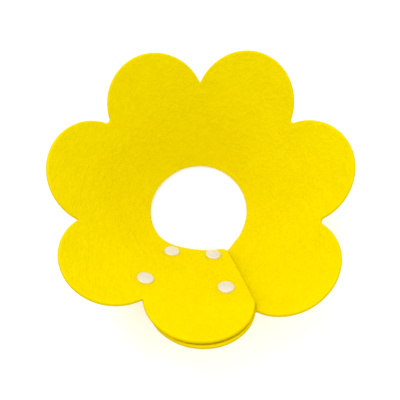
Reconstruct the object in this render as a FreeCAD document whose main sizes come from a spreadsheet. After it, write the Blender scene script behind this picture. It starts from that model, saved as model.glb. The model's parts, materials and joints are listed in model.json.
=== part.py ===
import FreeCAD, Part
import Sketcher
import math
import os

# Flower-shaped recovery collar: one die-cut felt sheet rolled into a shallow cone, its two ends
# lapped over one petal and closed by two rows of two press snaps.
# Frame: millimetres, +Z up. The origin is the centre of the neck opening at the base plane.
# Angles are measured from +X towards +Y. The petal that carries the closure lies towards -Y.
# A place on the sheet is given by its slant (distance up the slope from the neck edge), its angle
# round the neck and its lift (distance from the plain cone, towards the inside of the bowl).

doc = FreeCAD.newDocument("FlowerCollar")

SIZES = [
    # the felt sheet
    ("neck_radius", 40.0),          # middle of the felt at the neck edge
    ("slope_angle", 46.0),          # rise of the cone, degrees
    ("felt_thickness", 3.0),
    ("petal_number", 7.0),          # petals seen round the closed collar
    ("petal_radius", 39.2),
    ("petal_slant", 62.0),          # slant of a petal's centre
    ("cusp_slant", 73.5),           # slant where two petals meet
    ("base_land", 0.6),             # height trimmed off the neck's lower corner
    # the lapped ends
    ("layer_gap", 2.6),             # space between the two felts
    ("lap_rise", 9.0),              # how far the doubled part lies inside the plain cone
    ("lap_middle", 264.0),          # degrees
    ("lap_reach", 60.0),            # degrees from its middle to where the rise has died out
    ("lap_cut", 2.5),               # how far the neck edge is cut back at its middle
    ("step_start", 290.0),          # degrees, where the lower layer begins to climb
    ("step_end", 321.0),            # degrees, where it has joined the plain cone
    ("tab_margin", 12.3),           # degrees of felt past the outer left snap on the lower end
    ("edge_neck", 304.5),           # degrees, free edge of the flap at the neck
    ("edge_cusp", 295.8),           # degrees, free edge of the flap at the petal's root
    ("edge_corner", 6.0),           # radius of the flap's corner at the neck
    # the two living hinges
    ("flap_fold", 211.0),           # degrees
    ("under_fold", 311.0),          # degrees
    ("fold_slit", 0.2),             # half the angle left open at a fold, degrees
    # the snaps
    ("neck_left_angle", 239.3),     # degrees
    ("neck_left_slant", 11.6),
    ("neck_right_angle", 284.6),
    ("neck_right_slant", 9.0),
    ("outer_left_angle", 237.3),
    ("outer_left_slant", 54.2),
    ("outer_right_angle", 285.3),
    ("outer_right_slant", 51.2),
    ("cap_radius", 6.2),
    ("cap_rim", 0.6),
    ("cap_dome", 1.1),
    ("back_radius", 5.4),
    ("post_radius", 1.0),
    ("post_hole", 1.25),
    ("socket_radius", 5.0),
    ("socket_bore", 2.6),
    ("socket_plate", 0.7),
    ("stud_radius", 5.0),
    ("stud_boss", 2.0),
    ("stud_plate", 0.7),
    ("rivet_radius", 1.6),
    ("rivet_height", 0.4),
    ("felt_pinch", 0.3),            # how far a snap part sinks into the felt
    ("snap_play", 0.1),             # free height between socket and stud
    ("boss_play", 0.25),            # free height between stud and rivet head
]

sheet = doc.addObject("Spreadsheet::Sheet", "Sizes")
for row, (alias, number) in enumerate(SIZES, start=1):
    sheet.set("A%d" % row, alias)
    sheet.set("B%d" % row, str(number))
    sheet.setAlias("B%d" % row, alias)
doc.recompute()


def size(alias):
    return float(sheet.get(alias))


SLOPE = math.radians(size("slope_angle"))
HALF_FELT = size("felt_thickness") / 2
LAYER_PITCH = size("felt_thickness") + size("layer_gap")
PETAL_PITCH = 360 / size("petal_number")
CLOSURE_ANGLE = 270.0
# the middle of the felt at the neck edge stands this far above the base plane
NECK_HEIGHT = HALF_FELT * math.cos(SLOPE) - size("base_land")
BLANK_SLANT = size("petal_slant") + size("petal_radius") + 3
TOOL_DEPTH = 30.0                   # reach of the cutting tools to each side of the felt


def smooth(x):
    x = min(max(x, 0.0), 1.0)
    return x * x * (3 - 2 * x)


def lap_share(angle):
    """How far a place is into the doubled part of the ring: 1 at its middle, 0 outside it."""
    away = (angle - size("lap_middle") + 180) % 360 - 180
    if abs(away) >= size("lap_reach"):
        return 0.0
    return math.cos(math.radians(90 * away / size("lap_reach"))) ** 2


def top_lift(angle):
    """Lift of the upper layer: the doubled part of the ring is flatter than the cone."""
    return size("lap_rise") * lap_share(angle)


def lift(angle):
    """Lift of the middle of the sheet, unrolled from its lower end (small angle) to its upper."""
    span = size("step_end") - size("step_start")
    climbed = smooth((angle - size("step_start")) / span)
    return top_lift(angle) - LAYER_PITCH * (1 - climbed)


def neck_slant(angle):
    """Slant of the neck edge, cut back at the lap and where the felt sinks below the cone."""
    sunk = max(0.0, -lift(angle) / math.tan(SLOPE))
    return sunk + size("lap_cut") * lap_share(angle)


def radial(angle):
    turn = math.radians(angle)
    return FreeCAD.Vector(math.cos(turn), math.sin(turn), 0)


def along(angle):
    """Unit vector up the slope."""
    return radial(angle) * math.cos(SLOPE) + FreeCAD.Vector(0, 0, math.sin(SLOPE))


def inward(angle):
    """Unit normal of the plain cone, towards the inside of the bowl."""
    return radial(angle) * -math.sin(SLOPE) + FreeCAD.Vector(0, 0, math.cos(SLOPE))


def place(slant, angle, off):
    start = radial(angle) * size("neck_radius") + FreeCAD.Vector(0, 0, NECK_HEIGHT)
    return start + along(angle) * slant + inward(angle) * off


def face_normal(slant, angle):
    """Normal of the real felt, which leans where the lift changes round the ring."""
    small = 0.5
    ahead = place(slant, angle + small, lift(angle + small))
    behind = place(slant, angle - small, lift(angle - small))
    normal = along(angle).cross(ahead - behind)
    return normal.normalize()


# ---------------------------------------------------------------- felt blanks

def section(body, angle):
    """Cross-section of the felt on the half-plane at one angle round the neck."""
    sketch = body.newObject("Sketcher::SketchObject", "Section")
    planes = [item for item in body.Origin.OriginFeatures if item.Role == "XZ_Plane"]
    sketch.AttachmentSupport = [(planes[0], "")]
    sketch.MapMode = "FlatFace"
    turn = FreeCAD.Rotation(FreeCAD.Vector(0, 1, 0), angle)
    sketch.AttachmentOffset = FreeCAD.Placement(FreeCAD.Vector(0, 0, 0), turn)
    start = neck_slant(angle)
    level = lift(angle)
    corners = []
    for slant, side in ((start, -1), (BLANK_SLANT, -1), (BLANK_SLANT, 1), (start, 1)):
        off = level + side * HALF_FELT
        across = size("neck_radius") + slant * math.cos(SLOPE) - off * math.sin(SLOPE)
        height = NECK_HEIGHT + slant * math.sin(SLOPE) + off * math.cos(SLOPE)
        corners.append(FreeCAD.Vector(across, height, 0))
    for index in range(4):
        sketch.addGeometry(Part.LineSegment(corners[index], corners[(index + 1) % 4]), False)
    for index in range(4):
        sketch.addConstraint(Sketcher.Constraint("Coincident", index, 2, (index + 1) % 4, 1))
    sketch.addConstraint(Sketcher.Constraint("Perpendicular", 0, 1))
    sketch.addConstraint(Sketcher.Constraint("Perpendicular", 1, 2))
    sketch.addConstraint(Sketcher.Constraint("Perpendicular", 2, 3))
    slope = sketch.addConstraint(Sketcher.Constraint("Angle", 0, SLOPE))
    sketch.setExpression("Constraints[%d]" % slope, "Sizes.slope_angle * 1 deg")
    thick = sketch.addConstraint(Sketcher.Constraint("Distance", 1, 2 * HALF_FELT))
    sketch.setExpression("Constraints[%d]" % thick, "Sizes.felt_thickness * 1 mm")
    long = sketch.addConstraint(Sketcher.Constraint("Distance", 0, BLANK_SLANT - start))
    blank = "(Sizes.petal_slant + Sizes.petal_radius + 3 - %.6f) * 1 mm" % start
    sketch.setExpression("Constraints[%d]" % long, blank)
    sketch.addConstraint(Sketcher.Constraint("DistanceX", 0, 1, corners[0].x))
    sketch.addConstraint(Sketcher.Constraint("DistanceY", 0, 1, corners[0].y))
    return sketch


def felt_blank(name, first, last, spacing):
    """Band of felt between two angles, lofted through cross-sections."""
    body = doc.addObject("PartDesign::Body", name)
    steps = math.ceil((last - first) / spacing)
    sections = []
    for index in range(steps + 1):
        sections.append(section(body, first + (last - first) * index / steps))
    doc.recompute()
    band = body.newObject("PartDesign::AdditiveLoft", name + "Loft")
    band.Profile = sections[0]
    band.Sections = sections[1:]
    band.Ruled = False
    doc.recompute()
    return body


# ---------------------------------------------------------------- outline of the petals

def fused(name, pieces):
    union = doc.addObject("Part::MultiFuse", name)
    union.Shapes = pieces
    return union


def petal_disc(name, angle):
    """Round end of one petal: a cylinder square to the felt."""
    disc = doc.addObject("Part::Cylinder", name)
    disc.setExpression("Radius", "Sizes.petal_radius * 1 mm")
    disc.Height = 2 * TOOL_DEPTH
    turn = FreeCAD.Rotation(FreeCAD.Vector(0, 0, 1), inward(angle))
    disc.Placement = FreeCAD.Placement(place(size("petal_slant"), angle, -TOOL_DEPTH), turn)
    return disc


def petal_root(name):
    """Everything nearer the neck than the cusps, bounded by a cone square to the felt."""
    below_neck = (place(size("cusp_slant"), 0, 0).z + TOOL_DEPTH) / math.cos(SLOPE)
    low = place(size("cusp_slant"), 0, -below_neck)
    high = place(size("cusp_slant"), 0, TOOL_DEPTH)
    root = doc.addObject("Part::Cone", name)
    root.Radius1 = low.x
    root.Radius2 = high.x
    root.Height = high.z - low.z
    root.Placement = FreeCAD.Placement(FreeCAD.Vector(0, 0, low.z), FreeCAD.Rotation())
    return root


def petal_outline(name, petals):
    """Cutting outline of the petals with these numbers, counted on from the closure petal."""
    pieces = [petal_root(name + "Root")]
    for number in petals:
        angle = CLOSURE_ANGLE + PETAL_PITCH * number
        pieces.append(petal_disc("%sPetal%d" % (name, number), angle))
    return fused(name + "Outline", pieces)


def common(name, base, tool):
    both = doc.addObject("Part::Common", name)
    both.Base = base
    both.Tool = tool
    return both


def cut(name, base, tool):
    rest = doc.addObject("Part::Cut", name)
    rest.Base = base
    rest.Tool = tool
    return rest


def base_trim(name):
    """Block below the base plane, which leaves a flat land round the neck."""
    block = doc.addObject("Part::Box", name)
    reach = 2 * size("neck_radius")
    block.Length = 2 * reach
    block.Width = 2 * reach
    block.Height = TOOL_DEPTH
    corner = FreeCAD.Vector(-reach, -reach, -TOOL_DEPTH)
    block.Placement = FreeCAD.Placement(corner, FreeCAD.Rotation())
    return block


def free_edge_trim(name):
    """Block past the free edge of the flap, with its corner at the neck rounded."""
    neck_angle = size("edge_neck") + 360
    neck = place(neck_slant(neck_angle), neck_angle, lift(neck_angle))
    cusp_angle = size("edge_cusp")
    cusp = place(size("cusp_slant"), cusp_angle, lift(cusp_angle + 360))
    up_edge = (cusp - neck).normalize()
    normal = face_normal(size("outer_right_slant"), neck_angle)
    normal = (normal - up_edge * normal.dot(up_edge)).normalize()
    outward = normal.cross(up_edge)
    turn = FreeCAD.Rotation(up_edge, outward, normal, "XYZ")
    radius = size("edge_corner")
    block = doc.addObject("Part::Box", name + "Block")
    block.Length = 3 * size("cusp_slant")
    block.Width = 2 * TOOL_DEPTH
    block.Height = 2 * TOOL_DEPTH
    start = neck - up_edge * size("cusp_slant") - normal * TOOL_DEPTH
    block.Placement = FreeCAD.Placement(start, turn)
    square = doc.addObject("Part::Box", name + "Square")
    square.setExpression("Length", "2 * Sizes.edge_corner * 1 mm")
    square.setExpression("Width", "2 * Sizes.edge_corner * 1 mm")
    square.Height = 2 * TOOL_DEPTH
    corner = neck - outward * radius - up_edge * radius - normal * TOOL_DEPTH
    square.Placement = FreeCAD.Placement(corner, turn)
    round_post = doc.addObject("Part::Cylinder", name + "Round")
    round_post.setExpression("Radius", "Sizes.edge_corner * 1 mm")
    round_post.Height = 2 * TOOL_DEPTH
    middle = neck - outward * radius + up_edge * radius - normal * TOOL_DEPTH
    round_post.Placement = FreeCAD.Placement(middle, turn)
    return block, cut(name + "Corner", square, round_post)


# ---------------------------------------------------------------- the snaps

SNAPS = {}
for where in ("neck_left", "neck_right", "outer_left", "outer_right"):
    SNAPS[where] = (size(where + "_slant"), size(where + "_angle"))


def snap_placement(where):
    """Middle of the upper felt at one snap, with local Z towards the inside of the bowl."""
    slant, angle = SNAPS[where]
    upper = angle + 360
    turn = FreeCAD.Rotation(FreeCAD.Vector(0, 0, 1), face_normal(slant, upper))
    return FreeCAD.Placement(place(slant, angle, lift(upper)), turn)


# heights along a snap's own axis, from the middle of the upper felt, as sheet expressions
PITCH = "(Sizes.felt_thickness + Sizes.layer_gap)"
CAP_SEAT = "(Sizes.felt_thickness / 2 - Sizes.felt_pinch)"
CAP_RIM = "(%s + Sizes.cap_rim)" % CAP_SEAT
SOCKET_SEAT = "(0 - %s)" % CAP_SEAT
STUD_SEAT = "(%s - %s)" % (CAP_SEAT, PITCH)
BACK_SEAT = "(0 - %s - %s)" % (CAP_SEAT, PITCH)
BACK_RIM = "(%s - Sizes.cap_rim)" % BACK_SEAT
STUD_FACE = "(%s + Sizes.stud_plate)" % STUD_SEAT
SOCKET_FACE = "(%s + Sizes.snap_play)" % STUD_FACE
CAVITY_TOP = "(%s - Sizes.socket_plate)" % SOCKET_SEAT
RIVET_END = "(%s - Sizes.rivet_height)" % CAVITY_TOP
BOSS_TOP = "(%s - Sizes.boss_play)" % RIVET_END
BOSS_SEAT = "(%s - Sizes.rivet_height)" % BOSS_TOP
CLEAR_ABOVE = "(%s + 4)" % CAP_SEAT
CLEAR_BETWEEN_UP = "(%s - Sizes.layer_gap)" % SOCKET_SEAT
CLEAR_BETWEEN_DOWN = "(%s + Sizes.layer_gap)" % STUD_SEAT
CLEAR_BELOW = "(%s - 4)" % BACK_SEAT
AXIS = "0"


def turned(name, outline, where):
    """Piece of revolution about a snap's axis, from its (radius, height) corners in order."""
    body = doc.addObject("PartDesign::Body", name)
    sketch = body.newObject("Sketcher::SketchObject", name + "Profile")
    planes = [item for item in body.Origin.OriginFeatures if item.Role == "XZ_Plane"]
    sketch.AttachmentSupport = [(planes[0], "")]
    sketch.MapMode = "FlatFace"
    points = []
    for radius, height in outline:
        across = float(sheet.evalExpression(radius))
        points.append(FreeCAD.Vector(across, float(sheet.evalExpression(height)), 0))
    count = len(points)
    for index in range(count):
        sketch.addGeometry(Part.LineSegment(points[index], points[(index + 1) % count]), False)
    for index in range(count):
        sketch.addConstraint(Sketcher.Constraint("Coincident", index, 2, (index + 1) % count, 1))
    for index, (radius, height) in enumerate(outline):
        if radius == AXIS:
            sketch.addConstraint(Sketcher.Constraint("PointOnObject", index, 1, -2))
        else:
            across = sketch.addConstraint(
                Sketcher.Constraint("DistanceX", index, 1, points[index].x))
            sketch.setExpression("Constraints[%d]" % across, "(%s) * 1 mm" % radius)
        up = sketch.addConstraint(Sketcher.Constraint("DistanceY", index, 1, points[index].y))
        sketch.setExpression("Constraints[%d]" % up, "(%s) * 1 mm" % height)
    doc.recompute()
    turn = body.newObject("PartDesign::Revolution", name + "Turn")
    turn.Profile = sketch
    turn.ReferenceAxis = (sketch, ["V_Axis"])
    turn.Angle = 360
    body.Tip = turn
    body.Placement = snap_placement(where)
    return body


CAP_OUTLINE = [
    (AXIS, RIVET_END),
    ("Sizes.rivet_radius", RIVET_END),
    ("Sizes.rivet_radius", CAVITY_TOP),
    ("Sizes.post_radius", CAVITY_TOP),
    ("Sizes.post_radius", CAP_SEAT),
    ("Sizes.cap_radius", CAP_SEAT),
    ("Sizes.cap_radius", CAP_RIM),
    ("Sizes.cap_radius * 0.87", CAP_RIM + " + Sizes.cap_dome * 0.45"),
    ("Sizes.cap_radius * 0.6", CAP_RIM + " + Sizes.cap_dome * 0.82"),
    ("Sizes.cap_radius * 0.3", CAP_RIM + " + Sizes.cap_dome * 0.97"),
    (AXIS, CAP_RIM + " + Sizes.cap_dome"),
]
SOCKET_OUTLINE = [
    ("Sizes.post_radius", SOCKET_SEAT),
    ("Sizes.post_radius", CAVITY_TOP),
    ("Sizes.socket_bore", CAVITY_TOP),
    ("Sizes.socket_bore", SOCKET_FACE),
    ("Sizes.socket_radius - 1", SOCKET_FACE),
    ("Sizes.socket_radius", SOCKET_FACE + " + 1"),
    ("Sizes.socket_radius", SOCKET_SEAT),
]
STUD_OUTLINE = [
    ("Sizes.post_radius", STUD_SEAT),
    ("Sizes.stud_radius", STUD_SEAT),
    ("Sizes.stud_radius", STUD_FACE),
    ("Sizes.stud_boss", STUD_FACE),
    ("Sizes.stud_boss", BOSS_TOP),
    ("Sizes.rivet_radius", BOSS_TOP),
    ("Sizes.rivet_radius", BOSS_SEAT),
    ("Sizes.post_radius", BOSS_SEAT),
]
BACK_OUTLINE = [
    (AXIS, BOSS_TOP),
    ("Sizes.rivet_radius", BOSS_TOP),
    ("Sizes.rivet_radius", BOSS_SEAT),
    ("Sizes.post_radius", BOSS_SEAT),
    ("Sizes.post_radius", BACK_SEAT),
    ("Sizes.back_radius", BACK_SEAT),
    ("Sizes.back_radius", BACK_RIM),
    ("Sizes.back_radius * 0.8", BACK_RIM + " - Sizes.cap_dome * 0.5"),
    (AXIS, BACK_RIM + " - Sizes.cap_dome * 0.8"),
]
# the holes for the posts, with the seats that the snaps press into the felt
UPPER_SEATS = [
    (AXIS, CLEAR_ABOVE),
    ("Sizes.cap_radius", CLEAR_ABOVE),
    ("Sizes.cap_radius", CAP_SEAT),
    ("Sizes.post_hole", CAP_SEAT),
    ("Sizes.post_hole", SOCKET_SEAT),
    ("Sizes.socket_radius", SOCKET_SEAT),
    ("Sizes.socket_radius", CLEAR_BETWEEN_UP),
    (AXIS, CLEAR_BETWEEN_UP),
]
LOWER_SEATS = [
    (AXIS, CLEAR_BETWEEN_DOWN),
    ("Sizes.stud_radius", CLEAR_BETWEEN_DOWN),
    ("Sizes.stud_radius", STUD_SEAT),
    ("Sizes.post_hole", STUD_SEAT),
    ("Sizes.post_hole", BACK_SEAT),
    ("Sizes.back_radius", BACK_SEAT),
    ("Sizes.back_radius", CLEAR_BELOW),
    (AXIS, CLEAR_BELOW),
]


# ---------------------------------------------------------------- the nodes

parts = []


def node(label, piece):
    piece.Label = label
    parts.append(piece)
    return piece


slit = size("fold_slit")
lower_end = size("outer_left_angle") - size("tab_margin")
lower_fold = size("under_fold")
upper_fold = size("flap_fold") + 360
upper_end = max(size("edge_neck"), size("edge_cusp")) + 360 + 3

under_band = felt_blank("UnderBand", lower_end, lower_fold - slit, 11)
main_band = felt_blank("MainBand", lower_fold + slit, upper_fold - slit, 14)
flap_band = felt_blank("FlapBand", upper_fold + slit, upper_end, 11)

last_petal = int(size("petal_number"))
under_petals = common("UnderPetals", under_band, petal_outline("Under", [0, 1]))
main_petals = common("MainPetals", main_band, petal_outline("Main", range(1, last_petal)))
flap_petals = common("FlapPetals", flap_band, petal_outline("Flap", [last_petal - 1, last_petal]))

node("collar_sheet", cut("CollarSheet", main_petals, base_trim("MainTrim")))

under_cutters = [base_trim("UnderTrim")]
flap_cutters = list(free_edge_trim("Edge"))
for where in SNAPS:
    flap_cutters.append(turned("UpperSeats_" + where, UPPER_SEATS, where))
    under_cutters.append(turned("LowerSeats_" + where, LOWER_SEATS, where))
node("closure_flap", cut("ClosureFlap", flap_petals, fused("FlapCutters", flap_cutters)))
node("under_flap", cut("UnderFlap", under_petals, fused("UnderCutters", under_cutters)))

for where in SNAPS:
    node("cap_" + where, turned("Cap_" + where, CAP_OUTLINE, where))
    node("socket_" + where, turned("Socket_" + where, SOCKET_OUTLINE, where))
    node("stud_" + where, turned("Stud_" + where, STUD_OUTLINE, where))
    node("back_cap_" + where, turned("BackCap_" + where, BACK_OUTLINE, where))

doc.recompute()

# ---------------------------------------------------------------- checks and output

for item in doc.Objects:
    if "Invalid" in item.State or "Error" in item.State:
        raise RuntimeError("%s failed: %s" % (item.Label, item.State))
for piece in parts:
    shape = piece.Shape
    if shape.isNull() or not shape.isValid() or len(shape.Solids) != 1:
        raise RuntimeError("%s is not one valid solid" % piece.Label)

os.makedirs("parts", exist_ok=True)
for piece in parts:
    piece.Shape.exportStep("parts/%s.step" % piece.Label)
    print("%-22s %10.1f mm3" % (piece.Label, piece.Shape.Volume))

for label, angle, side in (("flap_fold", upper_fold, 1), ("under_fold", lower_fold, -1)):
    point = place(0, angle, lift(angle) + side * HALF_FELT)
    print("%s point %.4f %.4f %.4f" % (label, point.x, point.y, point.z), end="  ")
    print("axis %.6f %.6f %.6f" % tuple(along(angle)))
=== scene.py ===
"""Flower-shaped recovery collar of soft yellow felt, closed over one petal by four press snaps.

Everything is in metres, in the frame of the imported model: the origin is the centre of the neck
opening at the base plane, +Z points up, and the closing petal lies towards -Y. The felt is drawn
on its flat pattern, in millimetres, and rolled up into its shallow cone.
"""

import json
import logging
import math
from dataclasses import dataclass, field
from enum import Enum
from typing import Any

import bmesh
import bpy
import numpy as np
from mathutils import Matrix, Vector, geometry, kdtree, noise


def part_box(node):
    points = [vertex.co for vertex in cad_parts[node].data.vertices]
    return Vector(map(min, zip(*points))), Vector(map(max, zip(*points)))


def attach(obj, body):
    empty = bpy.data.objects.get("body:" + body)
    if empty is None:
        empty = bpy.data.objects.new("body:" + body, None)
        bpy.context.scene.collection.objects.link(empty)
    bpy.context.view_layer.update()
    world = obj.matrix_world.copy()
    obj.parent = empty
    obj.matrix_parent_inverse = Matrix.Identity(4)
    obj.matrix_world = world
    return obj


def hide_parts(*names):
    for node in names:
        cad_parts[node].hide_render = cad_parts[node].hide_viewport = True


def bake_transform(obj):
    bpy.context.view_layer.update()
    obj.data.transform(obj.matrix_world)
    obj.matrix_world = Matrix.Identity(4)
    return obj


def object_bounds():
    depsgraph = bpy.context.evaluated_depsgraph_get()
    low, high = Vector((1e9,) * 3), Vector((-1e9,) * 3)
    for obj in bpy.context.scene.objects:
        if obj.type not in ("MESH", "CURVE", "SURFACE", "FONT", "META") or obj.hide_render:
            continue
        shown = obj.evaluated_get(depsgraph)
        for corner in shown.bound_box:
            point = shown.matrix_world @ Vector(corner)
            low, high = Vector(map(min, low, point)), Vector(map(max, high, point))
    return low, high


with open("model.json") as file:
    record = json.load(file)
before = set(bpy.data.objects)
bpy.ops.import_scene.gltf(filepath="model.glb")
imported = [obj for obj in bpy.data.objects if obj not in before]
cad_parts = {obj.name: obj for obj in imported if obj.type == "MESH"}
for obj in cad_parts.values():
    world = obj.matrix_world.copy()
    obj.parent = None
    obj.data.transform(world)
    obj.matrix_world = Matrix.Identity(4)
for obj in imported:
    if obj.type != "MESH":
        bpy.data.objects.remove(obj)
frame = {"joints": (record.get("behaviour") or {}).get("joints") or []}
CAD_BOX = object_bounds()

MM = 0.001
SAME_PLACE = 1e-6
LOG = logging.getLogger("flower_collar")

# The felt's "edge_depth" is 0 on the middle of the cut edge, which counts as this far outside the
# face, and grows by 1 for each unit of depth; both in millimetres.
RIM_DEPTH = 0.3
DEPTH_UNIT = 3.0


def in_scene(data: bpy.types.ID) -> bpy.types.Object:
    """Put a mesh, lamp or camera into the scene as an object of the same name.

    Args:
        data: The mesh, lamp or camera.

    Returns:
        The object.
    """
    thing = bpy.data.objects.new(data.name, data)
    bpy.context.scene.collection.objects.link(thing)
    return thing


# ---------------------------------------------------------------- outlines

@dataclass(frozen=True)
class Corner:
    """A corner of an outline, in millimetres, with the radius that rounds it."""

    x: float
    y: float
    radius: float = 0.0


def rounded_corner(before: Vector, corner: Vector, after: Vector, radius: float,
                   steps: int) -> list[Vector]:
    """Replace one corner with an arc.

    Args:
        before: The point before the corner.
        corner: The corner itself.
        after: The point after the corner.
        radius: Radius of the arc.
        steps: Number of chords in the arc.

    Returns:
        The points along the arc, or the corner alone where it stays sharp.
    """
    back = (before - corner).normalized()
    ahead = (after - corner).normalized()
    half = math.acos(max(-1.0, min(1.0, back.dot(ahead)))) / 2
    if radius <= 0 or half > math.radians(89):
        return [corner]
    centre = corner + (back + ahead).normalized() * (radius / math.sin(half))
    first = corner + back * (radius / math.tan(half)) - centre
    last = corner + ahead * (radius / math.tan(half)) - centre
    turn = math.acos(max(-1.0, min(1.0, first.dot(last) / (radius * radius))))
    points = []
    for step in range(steps + 1):
        share = step / steps
        weight_first = math.sin((1 - share) * turn) / math.sin(turn)
        weight_last = math.sin(share * turn) / math.sin(turn)
        points.append(centre + first * weight_first + last * weight_last)
    return points


def rounded_profile(corners: list[Corner], steps: int = 5) -> list[Vector]:
    """Round the inner corners of an open profile.

    Args:
        corners: Corners in order; the first and the last stay as they are.
        steps: Number of chords in each arc.

    Returns:
        The points of the profile.
    """
    places = [Vector((corner.x, corner.y)) for corner in corners]
    points = [places[0]]
    for index in range(1, len(corners) - 1):
        points += rounded_corner(places[index - 1], places[index], places[index + 1],
                                 corners[index].radius, steps)
    points.append(places[-1])
    return points


def evenly_spaced(outline: np.ndarray, spacing: float) -> np.ndarray:
    """Points at an even spacing along a closed outline.

    Args:
        outline: Corners of the outline, one row each.
        spacing: Wanted distance between points.

    Returns:
        The new points, one row each.
    """
    closed = np.vstack([outline, outline[:1]])
    run = np.concatenate([[0.0], np.cumsum(np.linalg.norm(np.diff(closed, axis=0), axis=1))])
    stops = np.linspace(0.0, run[-1], int(run[-1] / spacing), endpoint=False)
    return np.column_stack([np.interp(stops, run, closed[:, axis]) for axis in range(2)])


def eased(outline: np.ndarray, rounds: int) -> np.ndarray:
    """Take the sharpness off a closed outline's corners, leaving its long curves as they are.

    Args:
        outline: Evenly spaced points.
        rounds: How many times each point moves towards its neighbours.

    Returns:
        The eased points.
    """
    for _ in range(rounds):
        outline = 0.5 * outline + 0.25 * (np.roll(outline, 1, axis=0) + np.roll(outline, -1, axis=0))
    return outline


def is_inside(points: np.ndarray, outline: np.ndarray) -> np.ndarray:
    """Which points lie inside a closed outline.

    Args:
        points: Points to test, one row each.
        outline: Points of the outline in order.

    Returns:
        One truth value for each point.
    """
    inside = np.zeros(len(points), bool)
    x, y = points[:, 0], points[:, 1]
    for (x0, y0), (x1, y1) in zip(outline, np.roll(outline, -1, axis=0)):
        if y0 == y1:
            continue
        crosses = ((y0 > y) != (y1 > y)) & (x < (x1 - x0) * (y - y0) / (y1 - y0) + x0)
        inside ^= crosses
    return inside


def outward_of(outline: np.ndarray) -> np.ndarray:
    """Unit vectors that point out of a closed outline, one at each of its points.

    Args:
        outline: Points of the outline, in order and anticlockwise.

    Returns:
        The vectors, one row each.
    """
    ahead = np.roll(outline, -1, axis=0) - np.roll(outline, 1, axis=0)
    outward = np.column_stack([ahead[:, 1], -ahead[:, 0]])
    return outward / np.linalg.norm(outward, axis=1)[:, None]


def search_tree(points: np.ndarray) -> kdtree.KDTree:
    """Search tree of flat points.

    Args:
        points: The points, one row each.

    Returns:
        The tree.
    """
    tree = kdtree.KDTree(len(points))
    for index, (x, y) in enumerate(points):
        tree.insert((x, y, 0), index)
    tree.balance()
    return tree


def distances(tree: kdtree.KDTree, points: np.ndarray) -> np.ndarray:
    """Distance of each flat point from the nearest point of a search tree."""
    return np.array([tree.find((x, y, 0))[2] for x, y in points])


def smooth(share: np.ndarray | float) -> np.ndarray:
    """Ease a share from 0 to 1, level at both ends."""
    share = np.clip(share, 0.0, 1.0)
    return share * share * (3 - 2 * share)


def crest(angle: np.ndarray, middle: float, reach: float) -> np.ndarray:
    """Round crest over angles in degrees: 1 at its middle, 0 from a reach away.

    Args:
        angle: Angles at which it is wanted.
        middle: Angle of its middle.
        reach: How far it reaches to each side.

    Returns:
        Its height at each angle.
    """
    away = (angle - middle + 180) % 360 - 180
    return np.cos(np.radians(90 * np.clip(away / reach, -1, 1))) ** 2


def noise_field(points: np.ndarray, seed: float) -> np.ndarray:
    """Smooth noise from about -1 to 1 over flat points.

    Args:
        points: Points in wave lengths, one row each.
        seed: Third coordinate, which picks the pattern.

    Returns:
        The noise at each point.
    """
    finer, weight, shift = 2.1, 0.4, 5
    return np.array([noise.noise((x, y, seed))
                     + weight * noise.noise((finer * x, finer * y, seed + shift))
                     for x, y in points])


# ---------------------------------------------------------------- the form of the felt

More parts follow.
